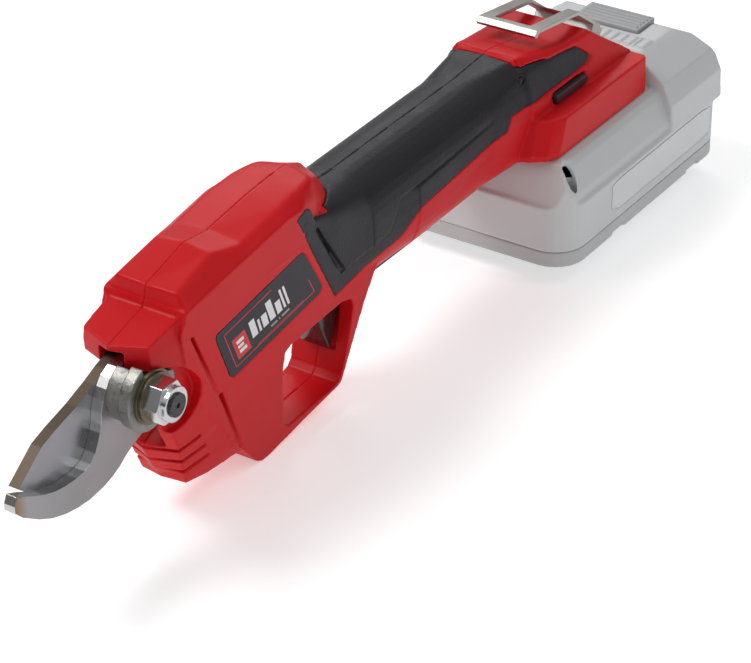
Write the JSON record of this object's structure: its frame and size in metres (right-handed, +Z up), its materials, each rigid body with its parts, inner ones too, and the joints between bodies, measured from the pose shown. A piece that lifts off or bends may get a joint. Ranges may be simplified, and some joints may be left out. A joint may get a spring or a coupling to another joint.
{
  "type": "battery electric pruner",
  "caption": "Handheld electric bypass pruner: humped red clamshell body, hook and swinging blade, guard loop with trigger, soft black grip, belt clip, slide-on battery pack.",
  "frame": {"origin": "middle of the overall outline, at the height of the lowest face of the head", "axes": "+X from the blades to the battery, along the tool; +Y to the tool's right when held, so the clamshell seam lies in the XZ plane; +Z up, the humped back of the tool"},
  "size_m": [0.399, 0.0806, 0.0964],
  "materials": {
    "housing_left": "satin spark-textured red",
    "housing_right": "satin spark-textured red",
    "grip_left": "grained soft overmould",
    "grip_right": "grained soft overmould",
    "underside_pad": "grained soft overmould",
    "label_left": "satin dark plate with red line work",
    "label_right": "satin dark plate with red line work",
    "housing_screws": "zinc plated",
    "belt_clip": "bright nickel plated strip",
    "clip_screw": "zinc plated",
    "head_frame": "rough as-cast light alloy",
    "fixed_blade": "satin blasted face, bright ground edge",
    "hook_screws": "dark zinc",
    "pivot_bolt": "black oxide",
    "pivot_bush": "turned bronze",
    "arm_washers": "yellow zinc and blackened spring steel",
    "lock_nut": "bright zinc plated",
    "nut_insert": "moulded ring",
    "gearbox_housing": "turned die casting",
    "gearbox_plate": "turned",
    "gearbox_screws": "black zinc",
    "output_bearings": "ground rings",
    "motor_can": "drawn steel, zinc",
    "motor_magnets": "sintered ferrite",
    "motor_cap": "moulded",
    "motor_bearings": "ground rings",
    "controller_board": "solder mask",
    "board_parts": "moulded parts",
    "switch_body": "moulded",
    "trigger_pin": "ground pin",
    "trigger_spring": "spring wire",
    "wires": "insulated lead",
    "terminal_block": "glass-filled",
    "contact_blades": "tinned copper",
    "button_spring": "spring wire",
    "moving_blade": "ground bevel, bronze tempered back",
    "sector_gear": "sintered steel",
    "blade_rivets": "peened",
    "planet_carrier": "sintered steel",
    "output_shaft": "ground shaft",
    "bevel_pinion": "sintered steel",
    "planet_a": "sintered steel",
    "planet_b": "sintered steel",
    "planet_c": "sintered steel",
    "rotor_shaft": "ground shaft",
    "rotor_core": "lamination stack with enamelled winding",
    "sun_gear": "hardened",
    "trigger": "gloss black moulding",
    "switch_plunger": "moulded",
    "side_button": "satin black moulding",
    "battery_shell": "pale grey moulding",
    "battery_tray": "pale grey moulding",
    "battery_screws": "zinc plated",
    "battery_side_labels": "pale printed label",
    "battery_cells": "shrink-wrapped cell",
    "cell_holder": "moulded",
    "battery_board": "solder mask",
    "battery_forks": "tinned copper",
    "release_button": "pale grey moulding",
    "release_spring": "spring wire"
  },
  "bodies": {
    "body": {"housing_left": "housing_left", "housing_right": "housing_right", "grip_left": "grip_left", "grip_right": "grip_right", "underside_pad": "underside_pad", "label_left": "label_left", "label_right": "label_right", "housing_screws": "housing_screws", "belt_clip": "belt_clip", "clip_screw": "clip_screw", "head_frame": "head_frame", "fixed_blade": "fixed_blade", "hook_screws": "hook_screws", "pivot_bolt": "pivot_bolt", "pivot_bush": "pivot_bush", "arm_washers": "arm_washers", "lock_nut": "lock_nut", "nut_insert": "nut_insert", "gearbox_housing": "gearbox_housing", "gearbox_plate": "gearbox_plate", "gearbox_screws": "gearbox_screws", "output_bearings": "output_bearings", "motor_can": "motor_can", "motor_magnets": "motor_magnets", "motor_cap": "motor_cap", "motor_bearings": "motor_bearings", "controller_board": "controller_board", "board_parts": "board_parts", "switch_body": "switch_body", "trigger_pin": "trigger_pin", "trigger_spring": "trigger_spring", "wires": "wires", "terminal_block": "terminal_block", "contact_blades": "contact_blades"},
    "blade": {"moving_blade": "moving_blade", "sector_gear": "sector_gear", "blade_rivets": "blade_rivets"},
    "carrier": {"planet_carrier": "planet_carrier", "output_shaft": "output_shaft", "bevel_pinion": "bevel_pinion"},
    "planet_1": {"planet_a": "planet_a"},
    "planet_2": {"planet_b": "planet_b"},
    "planet_3": {"planet_c": "planet_c"},
    "rotor": {"rotor_shaft": "rotor_shaft", "rotor_core": "rotor_core", "sun_gear": "sun_gear"},
    "trigger_lever": {"trigger": "trigger"},
    "plunger": {"switch_plunger": "switch_plunger"},
    "lock_button": {"side_button": "side_button", "button_spring": "button_spring"},
    "battery": {"battery_shell": "battery_shell", "battery_tray": "battery_tray", "battery_screws": "battery_screws", "battery_side_labels": "battery_side_labels", "battery_cells": "battery_cells", "cell_holder": "cell_holder", "battery_board": "battery_board", "battery_forks": "battery_forks", "release_spring": "release_spring"},
    "battery_release": {"release_button": "release_button"}
  },
  "joints": [
    {"name": "blade_swing", "type": "hinge", "parent": "body", "child": "blade", "pos_m": [-0.1435, 0.002, 0.061], "axis": [0, 1, 0], "range_deg": [0, 45]},
    {"name": "carrier_spin", "type": "hinge", "parent": "body", "child": "carrier", "pos_m": [-0.1035, 0, 0.061], "axis": [1, 0, 0], "range_deg": [-225.2, 0.2]},
    {"name": "rotor_spin", "type": "hinge", "parent": "body", "child": "rotor", "pos_m": [-0.0685, 0, 0.061], "axis": [1, 0, 0], "range_deg": [-1012.5, 0]},
    {"name": "planet_1_spin", "type": "hinge", "parent": "carrier", "child": "planet_1", "pos_m": [-0.0905, 0, 0.06775], "axis": [1, 0, 0], "range_deg": [-0.2, 630.2]},
    {"name": "planet_2_spin", "type": "hinge", "parent": "carrier", "child": "planet_2", "pos_m": [-0.0905, -0.00585, 0.05763], "axis": [1, 0, 0], "range_deg": [-0.2, 630.2]},
    {"name": "planet_3_spin", "type": "hinge", "parent": "carrier", "child": "planet_3", "pos_m": [-0.0905, 0.00585, 0.05763], "axis": [1, 0, 0], "range_deg": [-0.2, 630.2]},
    {"name": "trigger_pull", "type": "hinge", "parent": "body", "child": "trigger_lever", "pos_m": [-0.0305, 0, 0.053], "axis": [0, -1, 0], "range_deg": [0, 4.5]},
    {"name": "plunger_slide", "type": "slide", "parent": "body", "child": "plunger", "axis": [1, 0, 0], "range_m": [0, 0.00075]},
    {"name": "lock_button_press", "type": "slide", "parent": "body", "child": "lock_button", "axis": [0, 1, 0], "range_m": [0, 0.002]},
    {"name": "battery_slide", "type": "slide", "parent": "body", "child": "battery", "axis": [1, 0, 0], "range_m": [0, 0.1]},
    {"name": "battery_release_press", "type": "slide", "parent": "battery", "child": "battery_release", "axis": [0, 0, -1], "range_m": [0, 0.003], "deforming": ["release_spring"]}
  ],
  "couplings": [
    {"joint": "blade_swing", "follows": "rotor_spin", "ratio": -0.044444},
    {"joint": "carrier_spin", "follows": "rotor_spin", "ratio": 0.22222},
    {"joint": "planet_1_spin", "follows": "rotor_spin", "ratio": -0.62222},
    {"joint": "planet_2_spin", "follows": "rotor_spin", "ratio": -0.62222},
    {"joint": "planet_3_spin", "follows": "rotor_spin", "ratio": -0.62222},
    {"joint": "plunger_slide", "follows": "trigger_pull", "m_per_rad": 0.009}
  ]
}
